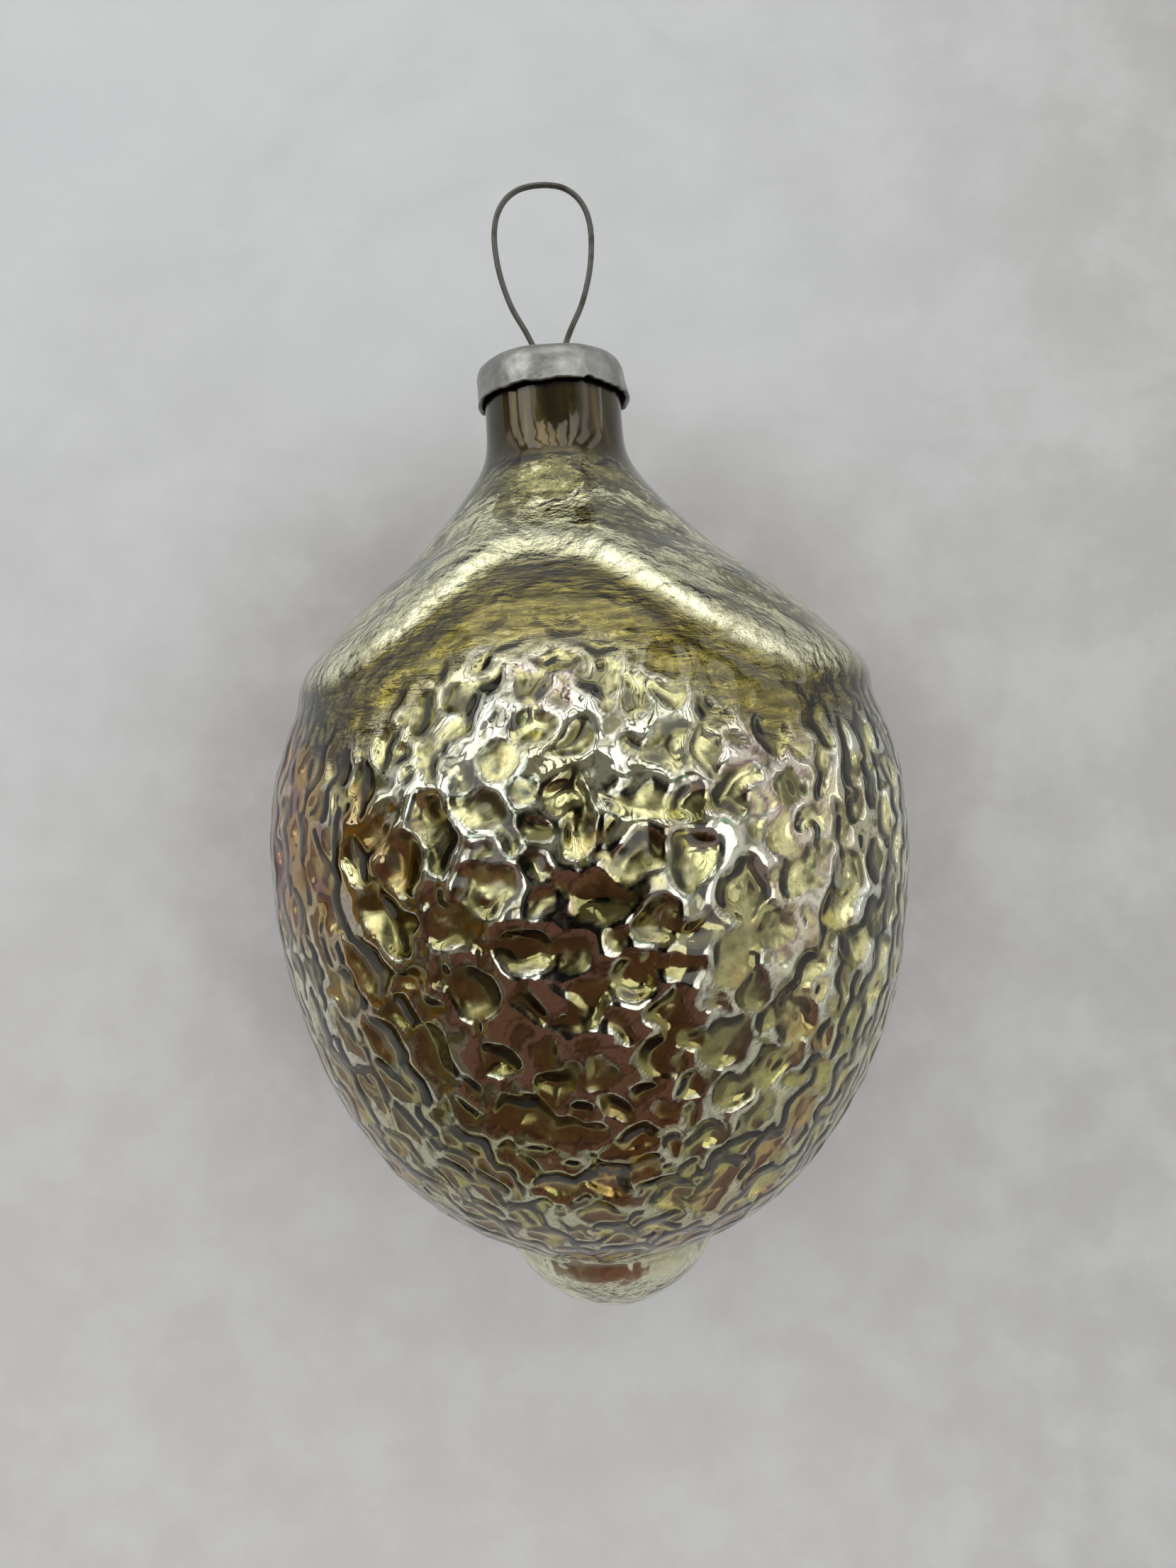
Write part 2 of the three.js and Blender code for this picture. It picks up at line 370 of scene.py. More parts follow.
def smooth_relief(points, z, below_lip, above_tip):
    """The smooth glass's depth: drawn waves on the hood, ripples below its lip, and a dented tip."""
    hood = smoothstep(-z, -HOOD_START - 2, -HOOD_START + 6)[:, None]
    drawn = 0.06 * (1 + waves(points * [1, 1, 0.35], 4.5, 31)) + 0.03 * (1 + waves(points, 1.9, 32))
    ripples = 0.02 * waves(points * [0.3, 0.3, 1.0], 0.65, 24) * smoothstep(below_lip, -0.5, 1.5)
    tip = 0.04 * (1 + waves(points, 3.0, 33))
    return (drawn + ripples) * hood * above_tip + tip * (1 - above_tip)


def glass_relief(points, angles, z, s, side_radius):
    """How far each point is pressed in, and the zones that the material tells apart."""
    below_lip = lip_height(angles)[None, :] - z[:, None]
    above_tip = smoothstep(z, TIP_END + PEEL_BOTTOM, TIP_END + 2 * PEEL_BOTTOM)[:, None]
    below_start = peel_start(angles)[None, :] - z[:, None]
    peel = smoothstep(below_start, -1.6, 2.0) * above_tip
    wobble = points + 0.3 * np.stack([waves(points, 2.4, seed) for seed in (11, 12, 13)], -1)
    warp = [PIT_WARP * waves(points, 2.4, seed) for seed in (14, 15)]
    pits = press_pits(scatter_pits(z, s), s, angles, side_radius, warp)
    smooth = smooth_relief(points, z, below_lip, above_tip)
    pressed = peel * peel_relief(wobble, pits) + (1 - peel) * smooth
    neck = neck_share(z)
    dark_neck = smoothstep(z, HOOD_START - 2.2, HOOD_START - 0.4)[:, None]
    zones = {
        "pit": np.clip(pits / 0.35, 0, 1) * peel,
        "edge": np.exp(-(((pits - 0.05) / 0.05) ** 2)) * peel,
        "crack": np.exp(-((waves(wobble, 3.4, 17) / 0.07) ** 2)) * np.exp(-pits / 0.15) * peel,
        "peel": peel,
        "ridge": np.exp(-(((below_lip + 1.1) / 1.6) ** 2)) * (1 - neck),
        "arch": smoothstep(below_lip, -0.3, 1.2) * (1 - smoothstep(below_start, 0.4, 4.2)) * above_tip,
        "neck": dark_neck + 0 * pressed,
        "tip": 1 - above_tip + 0 * pressed,
    }
    return np.maximum(pressed, 0) * (1 - neck), zones


def softened(grid, passes):
    """A ring grid's values, averaged with their neighbours a number of times."""
    for _ in range(passes):
        grid = (np.roll(grid, 1, axis=1) + 2 * grid + np.roll(grid, -1, axis=1)) / 4
        grid[1:-1] = (grid[:-2] + 2 * grid[1:-1] + grid[2:]) / 4
    return grid


def make_shell(name, outer, inner, zones):
    """A closed shell between two ring grids that run from the tip's end up to the neck."""
    outer_pole, inner_pole = outer[0, :1], inner[0, :1]
    inner = inner[:0:-1]
    columns = outer.shape[1]
    points = np.concatenate([outer_pole, outer[1:].reshape(-1, 3), inner.reshape(-1, 3), inner_pole])
    rows = len(outer) - 1 + len(inner)
    poles = end_faces(rows, columns, 0, len(points) - 1, first=1)
    shell = make_mesh(name, points, grid_faces(rows, columns, first=1), poles)
    inside = np.zeros(len(inner) * columns + 1)
    for zone, values in zones.items():
        add_attribute(shell, zone, np.concatenate([values[0, :1], values[1:].ravel(), inside]))
    return shell


def make_glass():
    """The blown shell in two pieces: the clear glass with the peel in it, and the silvering inside."""
    z, s = outline_rows()
    angles = 2 * math.pi * np.arange(GLASS_COLUMNS) / GLASS_COLUMNS
    radius = glass_radius(angles[None, :], z[:, None])
    radius[0] = 0
    x = radius * np.sin(angles) + glass_centre_x(z)[:, None]
    y = -radius * np.cos(angles)
    smooth = np.stack([x, y, z[:, None] + 0 * x], -1)
    normals = surface_normals(smooth)
    normals[0] = (0, 0, -1)
    normals[-1, :, 2] = 0
    pressed, zones = glass_relief(smooth, angles, z, s, np.maximum(glass_radius(math.pi / 2, z), 0.5))
    pressed[0] = pressed[1].mean()
    outer = OUTER_SHARE * softened(pressed, OUTER_SOFT)
    soft = softened(pressed, SILVER_SOFT)
    for relief in (outer, soft):
        relief[0] = relief[1].mean()
    outer[-1] += RIM_BEVEL

    def sunk(depth):
        return smooth - normals * depth[..., None]

    def picked(rows):
        """The rings of an inner face: every other one on the lemon, and all on the hood and the neck."""
        hood_row = np.searchsorted(z, HOOD_FRONT_END)
        return np.concatenate([np.arange(0, hood_row, 2), np.arange(hood_row, rows)])

    wall = soft + WALL + BODY_THICKER * (1 - neck_share(z))
    clear = make_shell("clear_glass", sunk(outer), sunk(wall)[picked(len(z))], {})
    silver_top = len(z) - 2  # it stops two rings short of the neck's top
    silver = sunk(soft + SILVER_DEPTH)[:silver_top]
    backing = sunk(wall - SILVER_BACK)[picked(silver_top)]
    inner_zones = {zone: values[:silver_top] for zone, values in zones.items()}
    silvering = make_shell("silvering", silver, backing, inner_zones)
    return clear, silvering


# ---- The cap ----

CAP_COLUMNS = 256
CAP_SHEET = 0.3  # the thickness of the metal
CAP_TAPER = 0.15  # how much narrower it is at the shoulder than at the rim
CAP_SHOULDER = 1.3  # the radius of the bend
CAP_SKIRT = CAP_TOP - CAP_SHOULDER - CAP_RIM


def cap_profile(thickness):
    """The cup's face at a depth below its outer one, from the axis out and down to the rim."""
    shoulder_at = CAP_RADIUS - CAP_TAPER - CAP_SHOULDER
    turn = np.linspace(math.pi / 2, 0.06, 14)
    bend = CAP_SHOULDER - thickness
    flat = np.linspace(0.02, shoulder_at, 26)[:-1]
    skirt = np.linspace(CAP_TOP - CAP_SHOULDER, CAP_RIM, 16)[1:]
    share = (CAP_TOP - CAP_SHOULDER - skirt) / CAP_SKIRT
    skirt_r = CAP_RADIUS - CAP_TAPER * (1 - share) - thickness
    r = np.concatenate([flat, shoulder_at + bend * np.cos(turn), skirt_r])
    flat_z = np.full(len(flat), CAP_TOP - thickness)
    z = np.concatenate([flat_z, CAP_TOP - CAP_SHOULDER + bend * np.sin(turn), skirt])
    return r, z


def torn_rim(angles):
    """How far the rim is torn away, in millimetres: unevenly all round, with one longer tear."""
    rim = np.stack([np.sin(angles), -np.cos(angles), 0 * angles], -1) * CAP_RADIUS
    torn = 0.10 * (1 + waves(rim, 3.1, 41)) + 0.05 * (1 + waves(rim, 0.9, 42))
    tear = smoothstep(np.sin(angles - 0.42), 0.0, 0.05) * smoothstep(np.sin(angles + 2.2), -0.2, 0.4)
    return torn + 0.22 * tear


def cap_face(thickness, angles):
    """One face of the cup as rings of points, from the axis out and down, dented and torn."""
    r, z = cap_profile(thickness)
    down = np.clip((CAP_TOP - CAP_SHOULDER - z) / CAP_SKIRT, 0, 1)
    height = z[:, None] + down[:, None] ** 2 * torn_rim(angles)[None, :]
    points = np.stack([r[:, None] * np.sin(angles), -r[:, None] * np.cos(angles), height], -1)
    dent = 0.11 * (1 + waves(points, 4.5, 43)) + 0.035 * (1 + waves(points, 1.6, 44))
    outward = points * [1, 1, 0] / np.maximum(r, 0.5)[:, None, None]
    edge = smoothstep(r, CAP_RADIUS - 2.0, CAP_RADIUS - 0.6)[:, None, None]
    points -= outward * (dent * 0.8)[..., None] * edge
    points[..., 2] -= dent * (1 - edge[..., 0]) * 0.6
    return points


def make_cap():
    """The pressed cup, dented, with a torn and uneven rim and two holes for the wire."""
    angles = 2 * math.pi * np.arange(CAP_COLUMNS) / CAP_COLUMNS
    outer, inner = cap_face(0.0, angles), cap_face(CAP_SHEET, angles)[::-1]
    points = np.concatenate([outer, inner]).reshape(-1, 3)
    middles = np.array([[0, 0, outer[0, :, 2].mean()], [0, 0, inner[-1, :, 2].mean()]])
    rows = 2 * len(outer)
    # The rings run down the outer face and up the inner one, so every face is turned over.
    quads = grid_faces(rows, CAP_COLUMNS)[:, ::-1]
    ends = end_faces(rows, CAP_COLUMNS, len(points), len(points) + 1)[:, [0, 2, 1]]
    cap = make_mesh("pressed_cap", np.concatenate([points, middles]), quads, ends)
    punch_holes(cap)
    return cap


HOLE_RADIUS = 0.45
HOLE_SIDES = 24
HOLE_TURN = 0.1  # keeps the corners of a hole off the cap's own edges
HOLE_REACH = (-1.5, 1.0)  # how far the punch goes below and above the cap's top
LEG_X = 0.8


def punch_holes(cap):
    """Cuts the two holes that the wire's legs go through, with a boolean that is then applied."""
    turn = 2 * math.pi * np.arange(HOLE_SIDES) / HOLE_SIDES + HOLE_TURN
    heights = [CAP_TOP + reach for reach in HOLE_REACH]
    for side in (-1, 1):
        ring = np.stack([side * LEG_X + HOLE_RADIUS * np.cos(turn), HOLE_RADIUS * np.sin(turn)], -1)
        rings = [np.column_stack([ring, np.full(HOLE_SIDES, height)]) for height in heights]
        middles = [[side * LEG_X, 0, height] for height in heights]
        ends = end_faces(2, HOLE_SIDES, 2 * HOLE_SIDES, 2 * HOLE_SIDES + 1)
        points = np.concatenate([*rings, middles])
        punch = make_mesh("punch", points, grid_faces(2, HOLE_SIDES), ends)
        cut = cap.modifiers.new("hole", "BOOLEAN")
        cut.operation = "DIFFERENCE"
        cut.solver = "EXACT"
        cut.object = punch
        apply_modifiers(cap)
        bpy.data.objects.remove(punch)


def apply_modifiers(piece):
    evaluated = piece.evaluated_get(bpy.context.evaluated_depsgraph_get())
    mesh = bpy.data.meshes.new_from_object(evaluated)
    piece.modifiers.clear()
    piece.data = mesh


# ---- The wire ----

LOOP_HALF_WIDTH = 3.75
LOOP_WIDEST = -4.1  # the height at which the loop is widest
CROWN_POWER = 2.4  # how square the loop's crown is; 2 would be an ellipse
LEG_TIP_X = 4.05
WIRE_SIDES = 14
WIRE_RINGS = 260
CURVE_STEPS = 24  # between two points of the route, before it is evenly stepped


def wire_half(side):
    """Half of the wire's route, from beside the crown down to a leg's tip, as in the CAD part."""
    crown_height = WIRE_RADIUS - LOOP_WIDEST
    power = 2 / CROWN_POWER
    points = []
    for degrees in (72, 54, 36, 18, 0):
        turn = math.radians(degrees)
        x = LOOP_HALF_WIDTH * math.cos(turn) ** power
        points.append((x, LOOP_WIDEST + crown_height * math.sin(turn) ** power))
    points += [
        (3.49, -6.5),
        (2.77, -9.0),
        (1.73, -11.1),
        (1.1, -12.6),
        (LEG_X, CAP_TOP),
        (LEG_X + 0.25, CAP_TOP - 1.4),
        (LEG_TIP_X - 1.15, LEG_END + 4.64),
        (LEG_TIP_X, LEG_END + 0.06),
    ]
    return [(side * x, 0.0, z) for x, z in points]


def smooth_route(points, steps):
    """A Catmull-Rom curve through the points, evenly stepped."""
    p = np.asarray(points, float)
    p = np.vstack([2 * p[0] - p[1], p, 2 * p[-1] - p[-2]])
    t = np.linspace(0, 1, CURVE_STEPS, endpoint=False)[:, None]
    pieces = []
    for a, b, c, d in zip(p, p[1:], p[2:], p[3:]):
        square = 2 * a - 5 * b + 4 * c - d
        cube = 3 * b - a - 3 * c + d
        pieces.append(0.5 * (2 * b + (c - a) * t + square * t**2 + cube * t**3))
    dense = np.vstack([*pieces, p[-2:-1]])
    s = np.concatenate([[0], np.cumsum(np.linalg.norm(np.diff(dense, axis=0), axis=1))])
    wanted = np.linspace(0, s[-1], steps)
    return np.stack([np.interp(wanted, s, dense[:, k]) for k in range(3)], -1)


def make_wire():
    """The bent spring wire as a round tube, drawn slightly uneven, with cut ends."""
    route = smooth_route([*wire_half(-1)[::-1], (0, 0, WIRE_RADIUS), *wire_half(1)], WIRE_RINGS)
    along = np.gradient(route, axis=0)
    along /= np.linalg.norm(along, axis=1)[:, None]
    sideways = np.tile([0.0, 1.0, 0.0], (len(route), 1))
    across = np.cross(sideways, along)
    turn = 2 * math.pi * np.arange(WIRE_SIDES) / WIRE_SIDES
    radius = WIRE_RADIUS * (0.985 + 0.012 * waves(route, 3.0, 51))
    offset = across[:, None] * np.cos(turn)[None, :, None] + sideways[:, None] * np.sin(turn)[None, :, None]
    points = (route[:, None] + offset * radius[:, None, None]).reshape(-1, 3)
    quads = grid_faces(len(route), WIRE_SIDES)
    ends = end_faces(len(route), WIRE_SIDES, len(points), len(points) + 1)
    return make_mesh("bent_wire", np.concatenate([points, route[:1], route[-1:]]), quads, ends)


# ---- Materials ----


class Nodes:
    """Short calls for building the nodes of a material or of the world."""

    def __init__(self, owner, kind="Material"):
        self.owner = owner
        owner.use_nodes = True
        self.tree = owner.node_tree
        self.tree.nodes.clear()
        self.output = self.add("ShaderNodeOutput" + kind)

    def add(self, kind, **settings):
        node = self.tree.nodes.new(kind)
        for key, value in settings.items():
            setattr(node, key, value)
        return node

    def link(self, source, target):
        """Joins an output to an input, or sets the input to a number or a colour."""
        if isinstance(source, (int, float)):
            target.default_value = source
        elif isinstance(source, tuple):
            target.default_value = source if len(source) == len(target.default_value) else (*source, 1.0)
        else:
            self.tree.links.new(source, target)

    def place(self, stretch=(1, 1, 1)):
        """Object coordinates in millimetres, stretched."""
        source = self.add("ShaderNodeTexCoord")
        mapping = self.add("ShaderNodeMapping")
        mapping.inputs["Scale"].default_value = [k / MM for k in stretch]
        self.link(source.outputs["Object"], mapping.inputs["Vector"])
        return mapping.outputs["Vector"]

    def coordinate(self, axis):
        """The object's X, Y or Z in millimetres."""
        parts = self.add("ShaderNodeSeparateXYZ")
        self.link(self.place(), parts.inputs[0])
        return parts.outputs[axis]

    def noise(self, wavelength, detail=2.0, stretch=(1, 1, 1), rough=0.5, twist=0.0):
        """Noise of about the given wavelength in millimetres."""
        node = self.add("ShaderNodeTexNoise")
        node.inputs["Scale"].default_value = 1 / wavelength
        node.inputs["Detail"].default_value = detail
        node.inputs["Roughness"].default_value = rough
        node.inputs["Distortion"].default_value = twist
        self.link(self.place(stretch), node.inputs["Vector"])
        return node.outputs["Fac"]

    def attribute(self, name):
        return self.add("ShaderNodeAttribute", attribute_name=name).outputs["Fac"]

    def ramp(self, value, low, high, to_low=0.0, to_high=1.0):
        """A smooth step from one value to another as the input goes from low to high."""
        node = self.add("ShaderNodeMapRange", interpolation_type="SMOOTHSTEP")
        for key, amount in (("From Min", low), ("From Max", high), ("To Min", to_low), ("To Max", to_high)):
            node.inputs[key].default_value = amount
        self.link(value, node.inputs["Value"])
        return node.outputs["Result"]

    def mix(self, factor, first, second):
        """The first colour where the factor is zero, and the second where it is one."""
        node = self.add("ShaderNodeMix", data_type="RGBA")
        self.link(factor, node.inputs[0])
        self.link(first, node.inputs[6])
        self.link(second, node.inputs[7])
        return node.outputs[2]

    def maths(self, operation, first, second=0.0):
        node = self.add("ShaderNodeMath", operation=operation)
        self.link(first, node.inputs[0])
        self.link(second, node.inputs[1])
        return node.outputs[0]

    def times(self, first, second):
        return self.maths("MULTIPLY", first, second)

    def plus(self, first, second):
        return self.maths("ADD", first, second)

    def vector(self, operation, *values):
        node = self.add("ShaderNodeVectorMath", operation=operation)
        for value, socket in zip(values, node.inputs):
            self.link(value, socket)
        return node

    def choose(self, factor, first, second):
        """The first shader where the factor is zero, and the second where it is one."""
        node = self.add("ShaderNodeMixShader")
        for value, socket in zip((factor, first, second), node.inputs):
            self.link(value, socket)
        return node.outputs[0]

    def bump(self, height, distance, normal=None):
        """A normal bent by a height, whose full range stands for a distance in millimetres."""
        node = self.add("ShaderNodeBump")
        node.inputs["Distance"].default_value = distance * MM
        self.link(height, node.inputs["Height"])
        if normal is not None:
            self.link(normal, node.inputs["Normal"])
        return node.outputs["Normal"]

    def surface(self, **inputs):
        shader = self.add("ShaderNodeBsdfPrincipled")
        for key, value in inputs.items():
            self.link(value, shader.inputs[key.replace("_", " ")])
        self.link(shader.outputs[0], self.output.inputs["Surface"])
        return self.owner


def peel_colour(n):
    """The lemon's colours: silver lands, gold pits with dark edges that are a painted shade, a painted
    shade over the pits in the front middle, cracks, rust, and red-brown patches on the left side.
    """
    pit, edge = n.attribute("pit"), n.attribute("edge")
    x, z = n.coordinate("X"), n.coordinate("Z")
    lacquer = n.ramp(n.noise(5.0, 4.0), 0.45, 0.65)
    silver = n.mix(lacquer, (0.94, 0.94, 0.92), (0.88, 0.84, 0.64))
    gold = n.mix(n.ramp(n.noise(2.2, 3.0), 0.42, 0.6), (0.13, 0.12, 0.05), (0.82, 0.76, 0.45))
    amber = n.mix(n.ramp(n.noise(4.0, 3.0), 0.46, 0.62), (0.58, 0.54, 0.20), (0.56, 0.38, 0.14))
    gold = n.mix(n.ramp(z, -56.0, -68.0, 0.0, 1.0), gold, amber)
    silver = n.mix(n.ramp(z, -60.0, -74.0, 0.0, 0.6), silver, (0.84, 0.84, 0.55))
    # Painted shade: the gold in the pits is painted darker over the front middle of the lemon.
    front = n.ramp(n.maths("ABSOLUTE", x), 15.0, 9.0)
    middle = n.times(n.ramp(z, -49.0, -55.0), n.ramp(z, -73.0, -65.0))
    painted_shading = n.times(front, n.times(middle, 0.75))
    gold = n.mix(painted_shading, gold, (0.27, 0.24, 0.11))
    colour = n.mix(n.ramp(pit, 0.08, 0.4), silver, gold)
    # Painted shade: thin dark outlines along the pits' rims, dark olive to wine red, weaker towards the
    # sides.
    painted_rim_shade = n.mix(n.ramp(n.noise(9.0, 2.0), 0.56, 0.64), (0.06, 0.05, 0.02), (0.17, 0.03, 0.05))
    lines = n.ramp(n.maths("ABSOLUTE", x), 11.0, 20.0, 0.88, 0.2)
    colour = n.mix(n.times(edge, lines), colour, painted_rim_shade)
    colour = n.mix(n.times(n.attribute("crack"), 0.6), colour, (0.09, 0.08, 0.04))
    rust = n.ramp(n.noise(7.0, 4.0, rough=0.6, twist=0.6), 0.58, 0.70)
    colour = n.mix(n.times(rust, 0.6), colour, (0.42, 0.25, 0.09))
    # Red-brown and wine-red patches over the lemon's left side, weaker lower down.
    left = n.times(n.ramp(x, -11.0, -18.0), n.ramp(z, -66.0, -50.0, 0.45, 1.0))
    left_tint = n.mix(n.ramp(n.noise(3.0, 3.0), 0.5, 0.6), (0.50, 0.28, 0.06), (0.26, 0.04, 0.07))
    left_tinted = n.times(left, n.ramp(n.noise(4.0, 3.0, stretch=(1, 1, 0.5)), 0.40, 0.52))
    return n.mix(n.times(left_tinted, 0.8), colour, left_tint)


def hood_colour(n):
    """Cream lacquer in patches over olive, darkest at the neck, with the ridge along the lip painted whiter
    as a painted highlight.
    """
    z = n.coordinate("Z")
    shoulder = n.ramp(z, -27.0, -23.5, -0.04, 0.2)
    patches = n.ramp(n.maths("SUBTRACT", n.noise(4.2, 4.0, rough=0.6, twist=1.0), shoulder), 0.44, 0.52)
    olive = n.mix(n.ramp(n.noise(1.0, 3.0), 0.4, 0.6), (0.17, 0.155, 0.06), (0.34, 0.31, 0.14))
    cream = n.mix(n.ramp(n.noise(2.0, 3.0), 0.45, 0.75), (0.97, 0.94, 0.68), (0.76, 0.71, 0.42))
    colour = n.mix(patches, olive, cream)
    dark_flecks = n.ramp(n.noise(0.8, 5.0, rough=0.8, stretch=(1, 1, 0.6)), 0.52, 0.6)
    colour = n.mix(n.times(dark_flecks, 0.6), colour, (0.13, 0.11, 0.045))
    light_flecks = n.ramp(n.noise(1.1, 5.0, rough=0.8), 0.56, 0.64)
    colour = n.mix(n.times(light_flecks, 0.6), colour, (0.92, 0.88, 0.62))
    # Painted highlight: the ridge along the lip is painted whiter, in broken stretches.
    broken = n.ramp(n.noise(2.2, 3.0), 0.38, 0.5, 0.4, 0.9)
    return n.mix(n.times(n.attribute("ridge"), broken), colour, (0.96, 0.94, 0.76))


def silver_colour(n):
    """The hood's and the peel's colours, with the arch under the lip painted darker as a painted shade, and
    the dark neck.
    """
    x, z = n.coordinate("X"), n.coordinate("Z")
    colour = n.mix(n.attribute("peel"), hood_colour(n), peel_colour(n))
    # Painted shade: the arch under the hood's lip is painted dark olive, in level bands.
    bands = n.ramp(n.noise(1.0, 4.0, stretch=(0.4, 0.4, 1.8), rough=0.6), 0.38, 0.68)
    colour = n.mix(n.attribute("arch"), colour, n.mix(bands, (0.105, 0.085, 0.02), (0.32, 0.26, 0.07)))
    corner = n.times(n.ramp(x, -16.5, -21.0), n.ramp(z, -58.0, -48.0))
    colour = n.mix(n.times(corner, 0.65), colour, (0.30, 0.10, 0.05))
    grain = n.ramp(n.noise(0.3, 4.0, rough=0.75), 0.5, 0.72)
    colour = n.mix(n.times(grain, 0.6), colour, (0.14, 0.13, 0.08))
    streaks = n.ramp(n.noise(0.9, 2.0, stretch=(1, 1, 0.12)), 0.4, 0.72)
    colour = n.mix(n.attribute("neck"), colour, n.mix(streaks, (0.032, 0.021, 0.005), (0.10, 0.068, 0.015)))
    return n.mix(n.times(n.attribute("tip"), 0.9), colour, (0.95, 0.95, 0.82))


def silver_frost(n):
    """How matt the silver is: in patches, in the pits' floors, and on the ridge, neck and tip."""
    frost = n.ramp(n.noise(1.1, 4.0, rough=0.65), 0.45, 0.75, 0.02, 0.16)
    floor = n.ramp(n.attribute("pit"), 0.08, 0.4)
    frost = n.plus(frost, n.times(floor, n.ramp(n.noise(2.6, 2.0), 0.4, 0.6, 0.02, 0.17)))
    for zone, more in (("ridge", 0.06), ("neck", 0.12), ("tip", 0.12)):
        frost = n.plus(frost, n.times(n.attribute(zone), more))
    return frost


def silver_bumps(n):
    """Fine level ripples in the arch, two sizes of crinkle on the hood, and a faint wave all over."""
    arch, neck = n.attribute("arch"), n.attribute("neck")
    ripples = n.noise(0.6, 3.0, stretch=(0.3, 0.3, 1.3), rough=0.6, twist=0.6)
    normal = n.bump(n.times(ripples, arch), 0.11)
    hood = n.maths("SUBTRACT", n.ramp(n.attribute("peel"), 0.0, 0.6, 1.0, 0.0), neck)
    normal = n.bump(n.times(n.noise(0.65, 3.0, rough=0.65), hood), 0.075, normal=normal)
    normal = n.bump(n.times(n.noise(2.6, 1.0, twist=1.0), hood), 0.16, normal=normal)
    return n.bump(n.noise(1.4, 0.0, twist=1.5), 0.02, normal=normal)


def silvered_glass():
    """The silvering: frosty silver under a yellow lacquer, which pools in the pits."""
    n = Nodes(bpy.data.materials.new("silvered_glass"))
    return n.surface(
        Base_Color=silver_colour(n),
        Metallic=1.0,
        Roughness=silver_frost(n),
        Specular_Tint=(0.80, 0.76, 0.60),
        Normal=silver_bumps(n),
    )


def clear_glass():
    """Clear blown glass, faintly green."""
    n = Nodes(bpy.data.materials.new("clear_glass"))
    smears = n.ramp(n.noise(2.5, 4.0, rough=0.7), 0.5, 0.75, 0.0, 0.06)
    depth = n.add("ShaderNodeVolumeAbsorption")
    depth.inputs["Color"].default_value = (0.86, 0.92, 0.64, 1.0)
    depth.inputs["Density"].default_value = 250.0  # per metre
    n.link(depth.outputs[0], n.output.inputs["Volume"])
    return n.surface(Base_Color=(1.0, 1.0, 0.97), Transmission_Weight=1.0, IOR=1.5, Roughness=smears)


def cap_metal():
    """Pressed aluminium gone dull, with wiped bright spots and dark specks."""
    n = Nodes(bpy.data.materials.new("cap_metal"))
    cloud = n.ramp(n.noise(1.8, 4.0, rough=0.6), 0.35, 0.7)
    specks = n.ramp(n.noise(0.25, 2.0), 0.66, 0.74)
    colour = n.mix(cloud, (0.25, 0.25, 0.24), (0.37, 0.37, 0.355))
    colour = n.mix(n.times(specks, 0.5), colour, (0.22, 0.21, 0.19))
    rough = n.ramp(n.noise(0.8, 3.0), 0.3, 0.7, 0.26, 0.48)
    normal = n.bump(n.noise(0.45, 3.0), 0.03)
    normal = n.bump(n.noise(2.2, 1.0), 0.25, normal=normal)
    return n.surface(Base_Color=colour, Metallic=0.85, Roughness=rough, Normal=normal)


def wire_steel():
    """Dark drawn spring wire, with patches of brown oxide."""
    n = Nodes(bpy.data.materials.new("wire_steel"))
    patches = n.ramp(n.noise(1.2, 3.0), 0.45, 0.7)
    colour = n.mix(patches, (0.12, 0.12, 0.11), (0.075, 0.065, 0.055))
    rough = n.ramp(n.noise(0.5, 2.0), 0.3, 0.7, 0.3, 0.55)
    normal = n.bump(n.noise(0.2, 2.0, stretch=(1, 1, 0.4)), 0.01)
    return n.surface(Base_Color=colour, Metallic=0.8, Roughness=rough, Normal=normal)


def paper():
    """White paper, painted lighter towards the top and darker towards the right as painted light, with a
    painted soft shade, seen only from its front so that it never hides the back.
    """
    n = Nodes(bpy.data.materials.new("paper"))
    # Painted light and shade: the paper is lighter towards the top and darker towards the right.
    painted_shading = n.mix(n.ramp(n.coordinate("Z"), -90.0, 12.0), (0.585, 0.567, 0.553), (0.65, 0.659, 0.669))
    painted_shading = n.mix(n.ramp(n.coordinate("X"), 5.0, 70.0), painted_shading, (0.495, 0.486, 0.477))
    cloud = n.ramp(n.noise(45.0, 3.0), 0.4, 0.75)
    colour = n.mix(n.times(cloud, 0.45), painted_shading, (0.56, 0.548, 0.545))
    across, up = PAPER_SHADE_SQUEEZE
    centred = n.vector("SUBTRACT", n.place((across, 0.0, up)), (0.0, 0.0, up * PAPER_SHADE_Z))
    off = n.vector("LENGTH", centred.outputs[0]).outputs["Value"]
    near = n.ramp(off, 58.0, 26.0, 0.0, 0.95)
    colour = n.mix(near, colour, (0.465, 0.438, 0.422))
    mottles = n.ramp(n.noise(9.0, 4.0, rough=0.6), 0.35, 0.7)
    colour = n.mix(n.times(mottles, 0.4), colour, (0.70, 0.70, 0.705))
    normal = n.bump(n.noise(0.6, 4.0, rough=0.7), 0.05)
    normal = n.bump(n.noise(26.0, 3.0, rough=0.45, twist=0.8), 2.0, normal=normal)
    sheet = n.add("ShaderNodeBsdfDiffuse")
    n.link(colour, sheet.inputs["Color"])
    n.link(normal, sheet.inputs["Normal"])
    clear = n.add("ShaderNodeBsdfTransparent")
    turned_away = n.add("ShaderNodeNewGeometry").outputs["Backfacing"]
    n.link(n.choose(turned_away, sheet.outputs[0], clear.outputs[0]), n.output.inputs["Surface"])
    return n.owner


# ---- The surroundings ----

